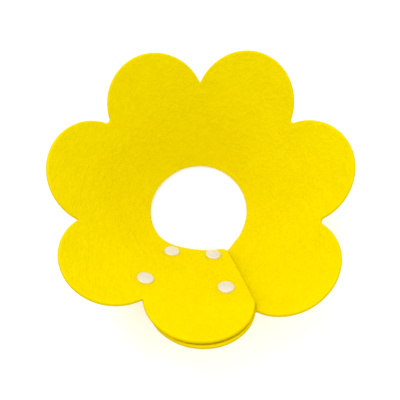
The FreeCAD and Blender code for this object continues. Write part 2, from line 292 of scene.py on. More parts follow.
@dataclass(frozen=True)
class ConeForm:
    """The shallow cone that the felt is rolled into; lengths in millimetres, angles in degrees.

    A place on the felt is a slant (distance up the slope from the neck edge), an angle round the
    neck and an offset (distance from the plain cone towards the inside of the bowl). Angles run on
    from the lower end of the sheet, through one whole turn, to its upper end.
    """

    neck_radius: float = 40.0
    slope: float = 46.0
    thickness: float = 3.0
    base_land: float = 0.6
    layer_gap: float = 2.6
    lap_rise: float = 9.0
    lap_middle: float = 264.0
    lap_reach: float = 60.0
    lap_cut: float = 2.5
    step_start: float = 290.0
    step_end: float = 321.0

    @property
    def rise(self) -> float:
        """Sine of the slope."""
        return math.sin(math.radians(self.slope))

    @property
    def run(self) -> float:
        """Cosine of the slope."""
        return math.cos(math.radians(self.slope))

    @property
    def flat_neck(self) -> float:
        """Radius of the neck edge on the flat pattern."""
        return self.neck_radius / self.run

    @property
    def neck_height(self) -> float:
        """Height of the middle of the felt at the neck edge."""
        return self.thickness / 2 * self.run - self.base_land

    def lift(self, angle: np.ndarray) -> np.ndarray:
        """Offset of the middle of the sheet from the plain cone.

        Args:
            angle: Angles round the neck, unrolled.

        Returns:
            The offset at each angle.
        """
        climbed = smooth((angle - self.step_start) / (self.step_end - self.step_start))
        raised = self.lap_rise * self.lap_share(angle)
        return raised - (self.thickness + self.layer_gap) * (1 - climbed)

    def lap_share(self, angle: np.ndarray) -> np.ndarray:
        """How far places are into the doubled part: 1 at its middle, 0 outside it."""
        return crest(angle, self.lap_middle, self.lap_reach)

    def neck_slant(self, angle: np.ndarray) -> np.ndarray:
        """Slant of the neck edge, cut back at the lap and where the felt sinks below the cone."""
        sunk = np.maximum(0.0, -self.lift(angle) * self.run / self.rise)
        return sunk + self.lap_cut * self.lap_share(angle)

    def place(self, slant: np.ndarray, angle: np.ndarray, offset: np.ndarray) -> np.ndarray:
        """Places in the row frame.

        Args:
            slant: Slants of the points.
            angle: Their angles round the neck.
            offset: Their offsets from the plain cone.

        Returns:
            Points in millimetres, one row each.
        """
        turn = np.radians(angle)
        across = self.neck_radius + slant * self.run - offset * self.rise
        height = self.neck_height + slant * self.rise + offset * self.run
        return np.column_stack([across * np.cos(turn), across * np.sin(turn), height])

    def to_flat(self, slant: np.ndarray, angle: np.ndarray) -> np.ndarray:
        """Points of the flat pattern for slants and angles.

        Args:
            slant: Slants of the points.
            angle: Their angles round the neck, unrolled.

        Returns:
            The points, one row each.
        """
        radius = self.flat_neck + np.asarray(slant, float)
        turn = np.radians(np.asarray(angle, float)) * self.run
        return np.column_stack([radius * np.cos(turn), radius * np.sin(turn)])

    def from_flat(self, flat: np.ndarray, middle: float) -> tuple[np.ndarray, np.ndarray]:
        """Slants and angles of points on the flat pattern.

        Args:
            flat: Points of the pattern, one row each.
            middle: Angle in the middle of the sheet, which the found angles lie round.

        Returns:
            The slants and the unrolled angles.
        """
        turn = np.degrees(np.arctan2(flat[:, 1], flat[:, 0]))
        turn = (turn - middle * self.run + 180) % 360 - 180 + middle * self.run
        return np.hypot(flat[:, 0], flat[:, 1]) - self.flat_neck, turn / self.run


@dataclass(frozen=True)
class Petal:
    """How one hand-formed petal differs from the plain one; degrees and millimetres."""

    turn: float = 0.0
    reach: float = 0.0
    half_width: float = 0.0


@dataclass(frozen=True)
class PetalPattern:
    """The die-cut outline of the sheet; lengths in millimetres, angles in degrees.

    The flat sheet has one petal more than the closed collar shows, because the first lies under
    the last. `petals` lists them from the lower end to the upper.
    """

    form: ConeForm
    petal_count: int = 7
    petal_slant: float = 62.0
    petal_reach: float = 39.2
    petal_half_width: float = 39.2
    cusp_slant: float = 71.6
    closure_angle: float = 270.0
    lower_end: float = 225.0
    edge_neck: float = 664.5
    edge_corner: float = 6.0
    edge_run: float = 12.0
    tab_slant: float = 57.0
    arc_ends: tuple[float, float] = (-60.0, 240.0)
    arc_steps: int = 301
    corner_steps: int = 10
    neck_steps: int = 400
    outline_spacing: float = 1.1
    corner_rounds: int = 1
    petals: tuple[Petal, ...] = (
        Petal(0.5, 0.7, -0.9), Petal(-1.8, 1.8, 1.6), Petal(0.4, 0.2, 0.2), Petal(0.8, 2.3, -0.2),
        Petal(-0.5, 0.2, -0.5), Petal(0.5, -0.9, 0.3), Petal(-0.5, 0.9, 0.2), Petal(-0.9, 0.1, 2.2))
    neck_ease: float = 2.6
    ease_middle: float = 186.0
    ease_reach: float = 62.0

    @property
    def middle(self) -> float:
        """Angle halfway along the sheet."""
        return (self.lower_end + self.edge_neck) / 2

    def cusp(self, number: int) -> float:
        """Angle of the cusp after petal `number`, counted from the lower closing petal."""
        return self.closure_angle + (number + 0.5) * 360 / self.petal_count

    def neck_slant(self, angle: np.ndarray) -> np.ndarray:
        """Slant of the neck edge, which is cut back a little further beside the upper end.

        Args:
            angle: Angles round the neck, unrolled.

        Returns:
            The slant at each angle.
        """
        share = crest(angle, self.ease_middle, self.ease_reach)
        return self.form.neck_slant(angle) + self.neck_ease * share

    def petal_axes(self, number: int) -> tuple[np.ndarray, np.ndarray, np.ndarray]:
        """Middle of a petal's round end on the flat pattern, with its long and its cross half axis.

        Args:
            number: Petal number along the sheet, from 0 on the lower end to 7 on the upper.

        Returns:
            The middle, the outward half axis and the sideways half axis.
        """
        petal = self.petals[number]
        angle = self.closure_angle + number * 360 / self.petal_count + petal.turn
        turn = math.radians(angle) * self.form.run
        outward = np.array([math.cos(turn), math.sin(turn)])
        sideways = np.array([-outward[1], outward[0]])
        return (outward * (self.form.flat_neck + self.petal_slant),
                outward * (self.petal_reach + petal.reach),
                sideways * (self.petal_half_width + petal.half_width))

    def petal_arc(self, number: int) -> np.ndarray:
        """Round end of one petal, beyond the cusps.

        Args:
            number: Petal number along the sheet.

        Returns:
            Points of the arc on the flat pattern.
        """
        centre, reach, across = self.petal_axes(number)
        sweep = np.radians(np.linspace(*self.arc_ends, self.arc_steps))[:, None]
        points = centre + reach * np.sin(sweep) - across * np.cos(sweep)
        kept = np.hypot(points[:, 0], points[:, 1]) > self.form.flat_neck + self.cusp_slant
        for other in (number - 1, number + 1):
            if 0 <= other <= self.petal_count:
                kept &= ~self.covers(other, points)
        return points[kept]

    def covers(self, number: int, points: np.ndarray) -> np.ndarray:
        """Which points of the flat pattern lie within a petal's round end.

        Args:
            number: Petal number along the sheet.
            points: Points of the pattern, one row each.

        Returns:
            One truth value for each point.
        """
        centre, reach, across = self.petal_axes(number)
        along = (points - centre) @ reach / (reach @ reach)
        beside = (points - centre) @ across / (across @ across)
        return along ** 2 + beside ** 2 < 1

    def outline(self) -> np.ndarray:
        """Closed outline of the whole sheet, evenly spaced, with eased corners.

        Returns:
            Points of the outline on the flat pattern.
        """
        points = [self.form.to_flat([self.tab_slant], [self.lower_end])]
        points += [self.petal_arc(number) for number in range(self.petal_count + 1)]
        along = np.array([self.edge_neck, self.edge_neck - self.edge_run])
        corner, along_neck = self.form.to_flat(self.neck_slant(along), along)
        points.append(np.array(rounded_corner(Vector(points[-1][-1]), Vector(corner),
                                              Vector(along_neck), self.edge_corner,
                                              self.corner_steps)))
        angles = np.linspace(along[1], self.lower_end, self.neck_steps)
        points.append(self.form.to_flat(self.neck_slant(angles), angles))
        return eased(evenly_spaced(np.vstack(points), self.outline_spacing), self.corner_rounds)


# ---------------------------------------------------------------- snaps' places

@dataclass(frozen=True)
class SnapAxis:
    """Where one snap stands: the middle of the upper felt, in millimetres, and its unit axis."""

    middle: np.ndarray
    axis: np.ndarray

    @classmethod
    def from_frame(cls, where: str, rim_height: float) -> "SnapAxis":
        """Find a snap's axis from the boxes of its two caps, whose rims set those boxes.

        Args:
            where: Name of the snap.
            rim_height: Height of the middle of the cap's rim along the axis.

        Returns:
            The axis.
        """
        cap = np.array(sum(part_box(f"cap_{where}"), Vector())) / 2 / MM
        back = np.array(sum(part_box(f"back_cap_{where}"), Vector())) / 2 / MM
        axis = (cap - back) / np.linalg.norm(cap - back)
        return cls(cap - axis * rim_height, axis)

    def matrix(self) -> Matrix:
        """Placement in metres whose Z is the snap's axis."""
        turn = Vector((0, 0, 1)).rotation_difference(Vector(self.axis)).to_matrix().to_4x4()
        return Matrix.Translation(Vector(self.middle) * MM) @ turn @ Matrix.Scale(MM, 4)


# ---------------------------------------------------------------- node tools

@dataclass
class NodeBoard:
    """A node tree that is being wired up."""

    tree: bpy.types.NodeTree

    def add(self, kind: str, sockets: dict[str | int, Any] | None = None,
            **settings: Any) -> bpy.types.Node:
        """Add one node.

        Args:
            kind: Type of the node.
            sockets: Inputs by name or number, each a constant or the output that feeds it.
            **settings: The node's own settings.

        Returns:
            The node.
        """
        node = self.tree.nodes.new(kind)
        for name, value in settings.items():
            setattr(node, name, value)
        self.feed(node, sockets or {})
        return node

    def feed(self, node: bpy.types.Node, sockets: dict[str | int, Any]) -> None:
        """Fill a node's inputs.

        Args:
            node: The node.
            sockets: Inputs by name or number, each a constant or the output that feeds it.
        """
        for name, value in sockets.items():
            if isinstance(value, bpy.types.NodeSocket):
                self.tree.links.new(value, node.inputs[name])
            else:
                node.inputs[name].default_value = value

    def sum(self, operation: str, first: Any, second: Any = 0.0, clamp: bool = False) -> Any:
        """Output of a Math node with that operation."""
        return self.add("ShaderNodeMath", {0: first, 1: second},
                        operation=operation, use_clamp=clamp).outputs[0]

    def ranged(self, value: Any, low: float, high: float, to_low: float, to_high: float) -> Any:
        """Output of a smooth Map Range node, clamped at both ends.

        Args:
            value: The value to map.
            low: Value that maps to `to_low`.
            high: Value that maps to `to_high`.
            to_low: Result at the low end.
            to_high: Result at the high end.

        Returns:
            The output.
        """
        sockets = {"Value": value, "From Min": low, "From Max": high,
                   "To Min": to_low, "To Max": to_high}
        node = self.add("ShaderNodeMapRange", sockets, interpolation_type="SMOOTHSTEP")
        return node.outputs["Result"]

    def weighted(self, *parts: tuple[Any, float]) -> Any:
        """Sum of values, each given with its weight.

        Args:
            *parts: The values, each with its weight.

        Returns:
            The output that carries the sum.
        """
        total, *others = [self.sum("MULTIPLY", value, weight) for value, weight in parts]
        for other in others:
            total = self.sum("ADD", total, other)
        return total

    def group(self, tree: bpy.types.NodeTree, **sockets: Any) -> bpy.types.Node:
        """Add a group node, its inputs given by name with _ for a space.

        Args:
            tree: The group.
            **sockets: Its inputs, each a constant or the output that feeds it.

        Returns:
            The node.
        """
        named = {name.replace("_", " "): value for name, value in sockets.items()}
        return self.add("ShaderNodeGroup", named, node_tree=tree)

    def attribute(self, name: str) -> Any:
        """Outputs of an Attribute node."""
        return self.add("ShaderNodeAttribute", attribute_name=name).outputs

    def blended(self, factor: Any, first: Any, second: Any) -> Any:
        """Output of a colour Mix node.

        Args:
            factor: Share of the second colour.
            first: The first colour.
            second: The second colour.

        Returns:
            The output.
        """
        node = self.add("ShaderNodeMix", {0: factor, 6: first, 7: second}, data_type="RGBA")
        return node.outputs[2]

    def noise(self, vector: Any, scale: Any, detail: float = 3.0, roughness: float = 0.5,
              distortion: float = 0.0) -> Any:
        """Output of a Noise node.

        Args:
            vector: Where it is read.
            scale: Its scale.
            detail: Number of octaves.
            roughness: Weight of the finer octaves.
            distortion: How far it is bent.

        Returns:
            The output.
        """
        sockets = {"Vector": vector, "Scale": scale, "Detail": detail,
                   "Roughness": roughness, "Distortion": distortion}
        return self.add("ShaderNodeTexNoise", sockets).outputs["Fac"]


def new_group(name: str, inputs: dict[str, tuple[str, float | None]],
              outputs: dict[str, str]) -> tuple[NodeBoard, bpy.types.Node, bpy.types.Node]:
    """Start a shader node group.

    Args:
        name: Name of the group.
        inputs: Socket type and default of each input.
        outputs: Socket type of each output.

    Returns:
        The group's board, its input node and its output node.
    """
    tree = bpy.data.node_groups.new(name, "ShaderNodeTree")
    for label, (kind, default) in inputs.items():
        socket = tree.interface.new_socket(label, in_out="INPUT", socket_type=kind)
        if default is not None:
            socket.default_value = default
    for label, kind in outputs.items():
        tree.interface.new_socket(label, in_out="OUTPUT", socket_type=kind)
    board = NodeBoard(tree)
    return board, board.add("NodeGroupInput"), board.add("NodeGroupOutput")


def fibre_mat_group() -> bpy.types.NodeTree:
    """Pressed fibres running every way, as in felt or in the drag marks on moulded plastic.

    Returns:
        The group.
    """
    board, given, made = new_group(
        "fibre_mat",
        {"Vector": ("NodeSocketVector", None), "Scale": ("NodeSocketFloat", 900.0),
         "Stretch": ("NodeSocketFloat", 0.16)},
        {"Fibres": "NodeSocketFloat", "Clumps": "NodeSocketFloat"})
    layers = []
    for number, turn in enumerate((12.0, 74.0, 131.0)):
        squeeze = board.add("ShaderNodeCombineXYZ", {0: 1.0, 1: given.outputs["Stretch"], 2: 1.0})
        turned = board.add("ShaderNodeMapping",
                           {"Vector": given.outputs["Vector"], "Location": (number * 0.37, 0.1, 0.2),
                            "Rotation": (0.0, 0.0, math.radians(turn)),
                            "Scale": squeeze.outputs[0]}, vector_type="POINT")
        layers.append(board.noise(turned.outputs[0], given.outputs["Scale"], 3.0, 0.6, 0.35))
    fibres = board.sum("MAXIMUM", board.sum("MAXIMUM", layers[0], layers[1]), layers[2])
    coarse = board.sum("MULTIPLY", given.outputs["Scale"], 0.3)
    clumps = board.noise(given.outputs["Vector"], coarse, 4.0, 0.62, 0.6)
    board.feed(made, {"Fibres": board.ranged(fibres, 0.42, 0.82, 0.0, 1.0),
                      "Clumps": board.ranged(clumps, 0.3, 0.7, 0.0, 1.0)})
    return board.tree


def handling_group() -> bpy.types.NodeTree:
    """Soft traces of handling: broad uneven tone and a few fine specks of dust.

    Returns:
        The group.
    """
    board, given, made = new_group(
        "handling",
        {"Vector": ("NodeSocketVector", None), "Patch Scale": ("NodeSocketFloat", 22.0),
         "Dust Scale": ("NodeSocketFloat", 700.0)},
        {"Patches": "NodeSocketFloat", "Dust": "NodeSocketFloat"})
    patches = board.noise(given.outputs["Vector"], given.outputs["Patch Scale"], 2.0, 0.5, 0.4)
    cells = board.add("ShaderNodeTexVoronoi",
                      {"Vector": given.outputs["Vector"], "Scale": given.outputs["Dust Scale"]})
    dust = board.ranged(cells.outputs["Distance"], 0.05, 0.13, 1.0, 0.0)
    sparse = board.ranged(board.noise(given.outputs["Vector"], 160.0, 2.0), 0.56, 0.66, 0.0, 1.0)
    board.feed(made, {"Patches": board.ranged(patches, 0.3, 0.7, 0.0, 1.0),
                      "Dust": board.sum("MULTIPLY", dust, sparse)})
    return board.tree


@dataclass(frozen=True)
class SharedGroups:
    """The node groups that more than one finish uses."""

    fibre_mat: bpy.types.NodeTree
    handling: bpy.types.NodeTree

    @classmethod
    def made(cls) -> "SharedGroups":
        """Build each group once."""
        return cls(fibre_mat_group(), handling_group())


def new_material(name: str, constants: dict[str, Any]
                 ) -> tuple[bpy.types.Material, NodeBoard, bpy.types.Node]:
    """Start a material on a Principled shader.

    Args:
        name: Name of the material.
        constants: Values set directly on the shader's sockets.

    Returns:
        The material, its board and the shader node.
    """
    material = bpy.data.materials.new(name)
    material.use_nodes = True
    material.node_tree.nodes.clear()
    board = NodeBoard(material.node_tree)
    shader = board.add("ShaderNodeBsdfPrincipled", constants)
    board.add("ShaderNodeOutputMaterial", {"Surface": shader.outputs[0]})
    return material, board, shader


# ---------------------------------------------------------------- finishes

Colour = tuple[float, float, float, float]


@dataclass(frozen=True)
class FeltFinish:
    """Matt felt made by pressing fibres, saturated yellow, with darker compressed cut edges, painted
    shade on the underside near the edges and painted shade round the snaps.
    """

    light: Colour = (0.715, 0.582, 0.0, 1.0)
    deep: Colour = (0.662, 0.519, 0.0, 1.0)
    # The next colour is the painted shade on the underside near the edges and round the snaps, and
    # the darker tone of the cut edge itself.
    cut_edge_and_shade: Colour = (0.60, 0.33, 0.0, 1.0)
    fibre_scale: float = 620.0
    fibre_depth: float = 0.0003

    def material(self, groups: SharedGroups) -> bpy.types.Material:
        """Build the felt's material.

        Args:
            groups: The shared node groups.

        Returns:
            The material.
        """
        constants = {"Specular IOR Level": 0.0, "Sheen Weight": 0.08, "Sheen Roughness": 0.6,
                     "Sheen Tint": (1.0, 0.85, 0.0, 1.0)}
        material, board, shader = new_material("yellow_felt", constants)
        cloth = board.attribute("cloth")["Vector"]
        depth = board.attribute("edge_depth")["Fac"]
        press_shade = board.attribute("press_shade")["Fac"]
        mat = board.group(groups.fibre_mat, Vector=cloth, Scale=self.fibre_scale)
        worn = board.group(groups.handling, Vector=cloth)
        fibres, clumps = mat.outputs["Fibres"], mat.outputs["Clumps"]
        tone = board.weighted((fibres, 0.45), (clumps, 0.35), (worn.outputs["Patches"], 0.3))
        colour = board.blended(board.sum("MULTIPLY", tone, 0.95, clamp=True), self.deep, self.light)
        # Painted shade: the underside within about 3 mm of the edge, lying in the gaps between the
        # layers and under the petal edges, turns towards the shade colour.
        through = board.add("ShaderNodeSeparateXYZ", {0: cloth}).outputs["Z"]
        under = board.sum("MULTIPLY", board.ranged(through, -0.0015, 0.0003, 1.0, 0.0),
                          board.ranged(depth, 0.0, 1.1, 0.85, 0.0))
        # The rim blend joins the slightly darker cut edge with the painted underside shade.
        rim = board.sum("MAXIMUM", board.ranged(depth, 0.0, 0.3, 0.22, 0.0), under)
        colour = board.blended(rim, colour, self.cut_edge_and_shade)
        # Painted contact shade round each snap part, where it presses into the felt.
        colour = board.blended(board.sum("MULTIPLY", press_shade, 0.25), colour, self.cut_edge_and_shade)
        creases = board.add("ShaderNodeTexVoronoi",
                            {"Vector": board.blended(0.012, cloth, self.wandering(board, cloth)),
                             "Scale": 210.0}, feature="DISTANCE_TO_EDGE")
        crease = board.ranged(creases.outputs["Distance"], 0.0, 0.16, 0.0, 1.0)
        creased = board.ranged(board.noise(cloth, 15.0, 2.0), 0.45, 0.62, 0.0, 1.0)
        crease = board.sum("MULTIPLY", crease, creased)
        height = board.weighted((fibres, 0.6), (clumps, 0.8), (crease, 0.5),
                                (worn.outputs["Dust"], 0.3))
        bump = board.add("ShaderNodeBump", {"Strength": 1.0, "Distance": self.fibre_depth,
                                            "Height": height})
        board.feed(shader, {"Base Color": colour, "Normal": bump.outputs["Normal"],
                            "Roughness": board.ranged(fibres, 0.0, 1.0, 1.0, 0.88)})
        return material

    @staticmethod
    def wandering(board: NodeBoard, vector: Any) -> Any:
        """Coloured noise that bends the creases."""
        node = board.add("ShaderNodeTexNoise", {"Vector": vector, "Scale": 60.0, "Detail": 2.0})
        return node.outputs["Color"]


@dataclass(frozen=True)
class SnapPlasticFinish:
    """Glossy off-white moulded plastic with faint drag marks and smudges, and painted yellow
    reflected light from the felt on the outer part of each moulding.
    """

    name: str = "snap_plastic"
    light: Colour = (0.61, 0.58, 0.53, 1.0)
    deep: Colour = (0.56, 0.52, 0.45, 1.0)
    # The rim colour is painted reflected light: the felt's yellow bounced onto the outer part of each
    # moulding.
    rim: Colour = (0.64, 0.56, 0.34, 1.0)
    dust: Colour = (0.60, 0.50, 0.28, 1.0)
    gloss: float = 0.28
    mark_scale: float = 520.0
    mark_depth: float = 0.00006
    patch_scale: float = 240.0
    dust_scale: float = 2400.0

    def material(self, groups: SharedGroups) -> bpy.types.Material:
        """Build the plastic's material.

        Args:
            groups: The shared node groups.

        Returns:
            The material.
        """
        constants = {"Specular IOR Level": 0.45, "Coat Roughness": 0.2,
                     "Subsurface Weight": 0.06, "Subsurface Radius": (0.004, 0.003, 0.002),
                     "Subsurface Scale": 0.4}
        material, board, shader = new_material(self.name, constants)
        own = board.add("ShaderNodeTexCoord").outputs["Object"]
        marks = board.group(groups.fibre_mat, Vector=own, Scale=self.mark_scale)
        worn = board.group(groups.handling, Vector=own, Patch_Scale=self.patch_scale,
                           Dust_Scale=self.dust_scale)
        tone = board.weighted((worn.outputs["Patches"], 0.6), (marks.outputs["Clumps"], 0.4))
        colour = board.blended(tone, self.deep, self.light)
        # Painted reflected light: the outer part of each moulding turns towards the yellow rim
        # colour.
        edge = board.attribute("out_from_axis")["Fac"]
        colour = board.blended(board.ranged(edge, 0.55, 1.0, 0.0, 0.7), colour, self.rim)
        colour = board.blended(board.sum("MULTIPLY", worn.outputs["Dust"], 0.35), colour,
                               self.dust)
        rough = board.ranged(worn.outputs["Patches"], 0.0, 1.0, self.gloss, self.gloss + 0.16)
        bump = board.add("ShaderNodeBump", {"Strength": 0.25, "Distance": self.mark_depth,
                                            "Height": marks.outputs["Clumps"]})
        board.feed(shader, {"Base Color": colour, "Roughness": rough,
                            "Normal": bump.outputs["Normal"]})
        return material


@dataclass(frozen=True)
class FloorFinish:
    """Plain pale paper."""

    light: Colour = (0.96, 0.96, 0.96, 1.0)
    deep: Colour = (0.93, 0.93, 0.93, 1.0)
    patch_scale: float = 4.0

    def material(self, groups: SharedGroups) -> bpy.types.Material:
        """Build the paper's material.

        Args:
            groups: The shared node groups.

        Returns:
            The material.
        """
        material, board, shader = new_material("pale_paper", {"Specular IOR Level": 0.05})
        own = board.add("ShaderNodeTexCoord").outputs["Object"]
        worn = board.group(groups.handling, Vector=own, Patch_Scale=self.patch_scale)
        patches = worn.outputs["Patches"]
        board.feed(shader, {"Base Color": board.blended(patches, self.deep, self.light),
                            "Roughness": board.ranged(patches, 0.0, 1.0, 0.95, 0.85)})
        return material


# ---------------------------------------------------------------- the felt

class FeltPiece(Enum):
    """The three meshes of the sheet, which meet at cusps: piece name and replaced CAD node."""

    LOWER_END = ("felt_lower_end", "under_flap")
    RING = ("felt_ring", "collar_sheet")
    UPPER_END = ("felt_upper_end", "closure_flap")

    def __init__(self, label: str, node: str) -> None:
        """Keep the two names apart."""
        self.label, self.node = label, node


@dataclass(frozen=True)
class Fold:
    """A living hinge across the felt: where the bend is eased in and out, in millimetres."""

    joint: str
    body: str
    lead_in: float
    lead_out: float


@dataclass
class FeltMesh:
    """The whole sheet before it is split: flat places, depths from the edge and solid places."""

    flat: np.ndarray
    depth: np.ndarray
    edge_count: int
    seams: list[list[int]]
    faces: list[tuple[int, ...]]
    upper: np.ndarray = field(default_factory=lambda: np.zeros((0, 3)))
    lower: np.ndarray = field(default_factory=lambda: np.zeros((0, 3)))
    rim: np.ndarray = field(default_factory=lambda: np.zeros((0, 3)))
    # Painted contact shade round the snap seats, 0 to 1 at each point.
    press_shade: np.ndarray = field(default_factory=lambda: np.zeros(0))


@dataclass
class FeltSheet:
    """The one die-cut sheet of felt, as three meshes that meet without a visible join.

    Lengths are in millimetres. `seats` gives, for each part of a snap, the radius that it presses
    into the felt and the level of its face along the snap's axis.
    """

    form: ConeForm
    pattern: PetalPattern
    snaps: dict[str, SnapAxis]
    edge_round: float = 0.9
    rim_bulge: float = 0.1
    insets: tuple[float, ...] = (0.08, 0.25, 0.5, 0.9, 1.7)
    spacing: float = 2.1
    row_share: float = 0.97
    row_gap: float = 0.5
    edge_gap: float = 0.9
    grid_gap: float = 1.2
    seam_gap: float = 1.4
    wave_height: float = 0.3
    wave_length: float = 38.0
    wave_seed: float = 11.0
    tip_settle: float = 1.4
    settle_slant: float = 66.0
    settle_run: float = 22.0
    dapple_height: float = 0.07
    dapple_length: float = 7.0
    dapple_seed: float = 29.0
    dapple_ease: float = 3.0
    snap_rings: tuple[float, ...] = (3.0, 5.0, 5.9, 6.5, 7.3, 8.4, 9.8, 11.4)
    ring_spacing: float = 1.5
    ring_least: int = 10
    dimple_reach: float = 4.6
    seat_search: float = 5.0
    press_shade_lead: float = 0.4
    # Where the painted contact shade round a seat starts fading, inside the seat's edge, and how far
    # it runs.
    press_shade_run: float = 1.8
    seats: dict[str, tuple[float, float]] = field(default_factory=lambda: {
        "cap": (6.5, 1.13), "socket": (5.3, -1.13), "stud": (5.3, -4.47), "back": (5.7, -6.73)})
    folds: dict[FeltPiece, Fold] = field(default_factory=lambda: {
        FeltPiece.UPPER_END: Fold("flap_fold", "upper_end", 12.0, 12.5),
        FeltPiece.LOWER_END: Fold("under_fold", "lower_end", 14.0, 12.0)})

    # ---- points on the flat pattern

    def inset_points(self, outline: np.ndarray, tree: kdtree.KDTree) -> tuple[np.ndarray, np.ndarray]:
        """Rows of points just inside the outline, which carry the rounding of the cut edge.

        Args:
            outline: Points of the outline in order.
            tree: Search tree of those points.

        Returns:
            The points and their depths from the edge.
        """
        outward = outward_of(outline)
        points, depths = [], []
        for inset in self.insets:
            row = outline - outward * inset
            row = row[distances(tree, row) > self.row_share * inset]
            points.append(row)
            depths.append(np.full(len(row), inset))
        return np.vstack(points), np.concatenate(depths)

    def snap_circle_points(self) -> np.ndarray:
        """Rings of points round every snap, on both layers of the lap.

        Returns:
            The points, one row each.
        """
        points = []
        for axis in self.snaps.values():
            x, y, z = axis.middle
            angle = math.degrees(math.atan2(y, x)) % 360
            for unrolled in (angle, angle + 360):
                slant = self.slant_under(axis, unrolled)
                centre = self.form.to_flat([slant], [unrolled])[0]
                points.append(centre[None])
                for radius in self.snap_rings:
                    count = max(self.ring_least, int(2 * math.pi * radius / self.ring_spacing))
                    turn = np.linspace(0, 2 * math.pi, count, endpoint=False)
                    points.append(centre + radius * np.column_stack([np.cos(turn), np.sin(turn)]))
        return np.vstack(points)

    def slant_under(self, axis: SnapAxis, angle: float) -> float:
        """Slant at which a snap's axis passes through one layer.

        Args:
            axis: The snap's axis.
            angle: Unrolled angle of the layer under the snap.

        Returns:
            The slant.
        """
        lift = float(self.form.lift(np.array([angle]))[0])
        normal = np.array([-self.form.rise, self.form.run])
        along = np.array([self.form.run, self.form.rise])
        start = np.array([self.form.neck_radius, self.form.neck_height]) + normal * lift
        middle = np.array([math.hypot(axis.middle[0], axis.middle[1]), axis.middle[2]])
        return float((middle - start) @ along)

    def lay_out(self) -> FeltMesh:
        """Lay points over the pattern and join them into triangles.

        Returns:
            The sheet, still flat.
        """
        outline, ends = self.seam_ends(self.pattern.outline())
        tree = search_tree(outline)
        ringed, ring_depths = self.inset_points(outline, tree)
        seams = [self.seam_points(outline[out], outline[neck]) for out, neck in ends]
        seam_tree = search_tree(np.vstack(seams))
        rings = self.snap_circle_points()
        ring_tree = search_tree(rings)
        clear = distances(tree, rings) > self.insets[-1] + self.row_gap
        rings = rings[is_inside(rings, outline) & clear]
        clear = distances(seam_tree, ringed) > self.row_gap
        ringed, ring_depths = ringed[clear], ring_depths[clear]
        grid = self.grid_points(outline)
        clear = distances(tree, grid) > self.insets[-1] + self.edge_gap
        for other in (seam_tree, ring_tree):
            clear &= distances(other, grid) > self.grid_gap
        grid = grid[clear]

        groups = [outline, ringed, *seams, rings, grid]
        starts = np.cumsum([0] + [len(group) for group in groups])
        flat = np.vstack(groups)
        chains = []
        for number, (out, neck) in enumerate(ends):
            first = int(starts[2 + number])
            chains.append([out, *range(first, first + len(seams[number])), neck])
        edges = [pair for chain in chains for pair in zip(chain, chain[1:])]
        border = list(range(len(outline)))
        made = geometry.delaunay_2d_cdt([Vector(point) for point in flat], edges, [border], 1,
                                        SAME_PLACE)
        found, faces, originals = made[0], made[2], made[3]
        if len(found) != len(flat):
            raise ValueError("the flat pattern's points run into each other")
        order = [origin[0] for origin in originals]
        faces = [tuple(order[corner] for corner in face) for face in faces]
        depth = distances(tree, flat)
        depth[:len(outline)] = 0.0
        depth[len(outline):len(outline) + len(ringed)] = ring_depths
        for (out, neck), chain in zip(ends, chains):
            for corner in chain[1:-1]:
                depth[corner] = min(np.linalg.norm(flat[corner] - flat[out]),
                                    np.linalg.norm(flat[corner] - flat[neck]))
        return FeltMesh(flat, depth, len(outline), chains, faces)

    def seam_ends(self, outline: np.ndarray) -> tuple[np.ndarray, list[tuple[int, int]]]:
        """Move the outline's nearest points exactly onto the seams' lines.

        Args:
            outline: Points of the outline.

        Returns:
            The outline, and for each seam the numbers of its points at the cusp and at the neck.
        """
        slants, turned = self.form.from_flat(outline, self.pattern.middle)
        ends = []
        outer_half = slants > self.pattern.cusp_slant / 2
        for angle in self.seam_angles():
            found = []
            for half in (outer_half, ~outer_half):
                away = np.where(half, np.abs(turned - angle), np.inf)
                nearest = int(np.argmin(away))
                outline[nearest] = self.form.to_flat([slants[nearest]], [angle])[0]
                found.append(nearest)
            ends.append((found[0], found[1]))
        return outline, ends

    def seam_points(self, cusp: np.ndarray, neck: np.ndarray) -> np.ndarray:
        """Points along a seam between its two ends, close together near the cut edges.

        Args:
            cusp: Its end at the cusp.
            neck: Its end at the neck.

        Returns:
            The points between the two, one row each.
        """
        length = float(np.linalg.norm(neck - cusp))
        first = self.insets[-1] + self.seam_gap
        inner = np.linspace(first, length - first, int(length / self.spacing) - 2)
        stops = np.concatenate([self.insets, inner, length - np.array(self.insets)[::-1]])
        return cusp + (neck - cusp) * (stops / length)[:, None]

    def grid_points(self, outline: np.ndarray) -> np.ndarray:
        """A triangular grid of points inside the outline.

        Args:
            outline: Points of the outline.

        Returns:
            The points, one row each.
        """
        low, high = outline.min(axis=0), outline.max(axis=0)
        row_height = self.spacing * math.sqrt(0.75)
        rows = []
        for number, y in enumerate(np.arange(low[1], high[1], row_height)):
            x = np.arange(low[0] + self.spacing / 2 * (number % 2), high[0], self.spacing)
            rows.append(np.column_stack([x, np.full(len(x), y)]))
        grid = np.vstack(rows)
        return grid[is_inside(grid, outline)]

    # ---- rolling up

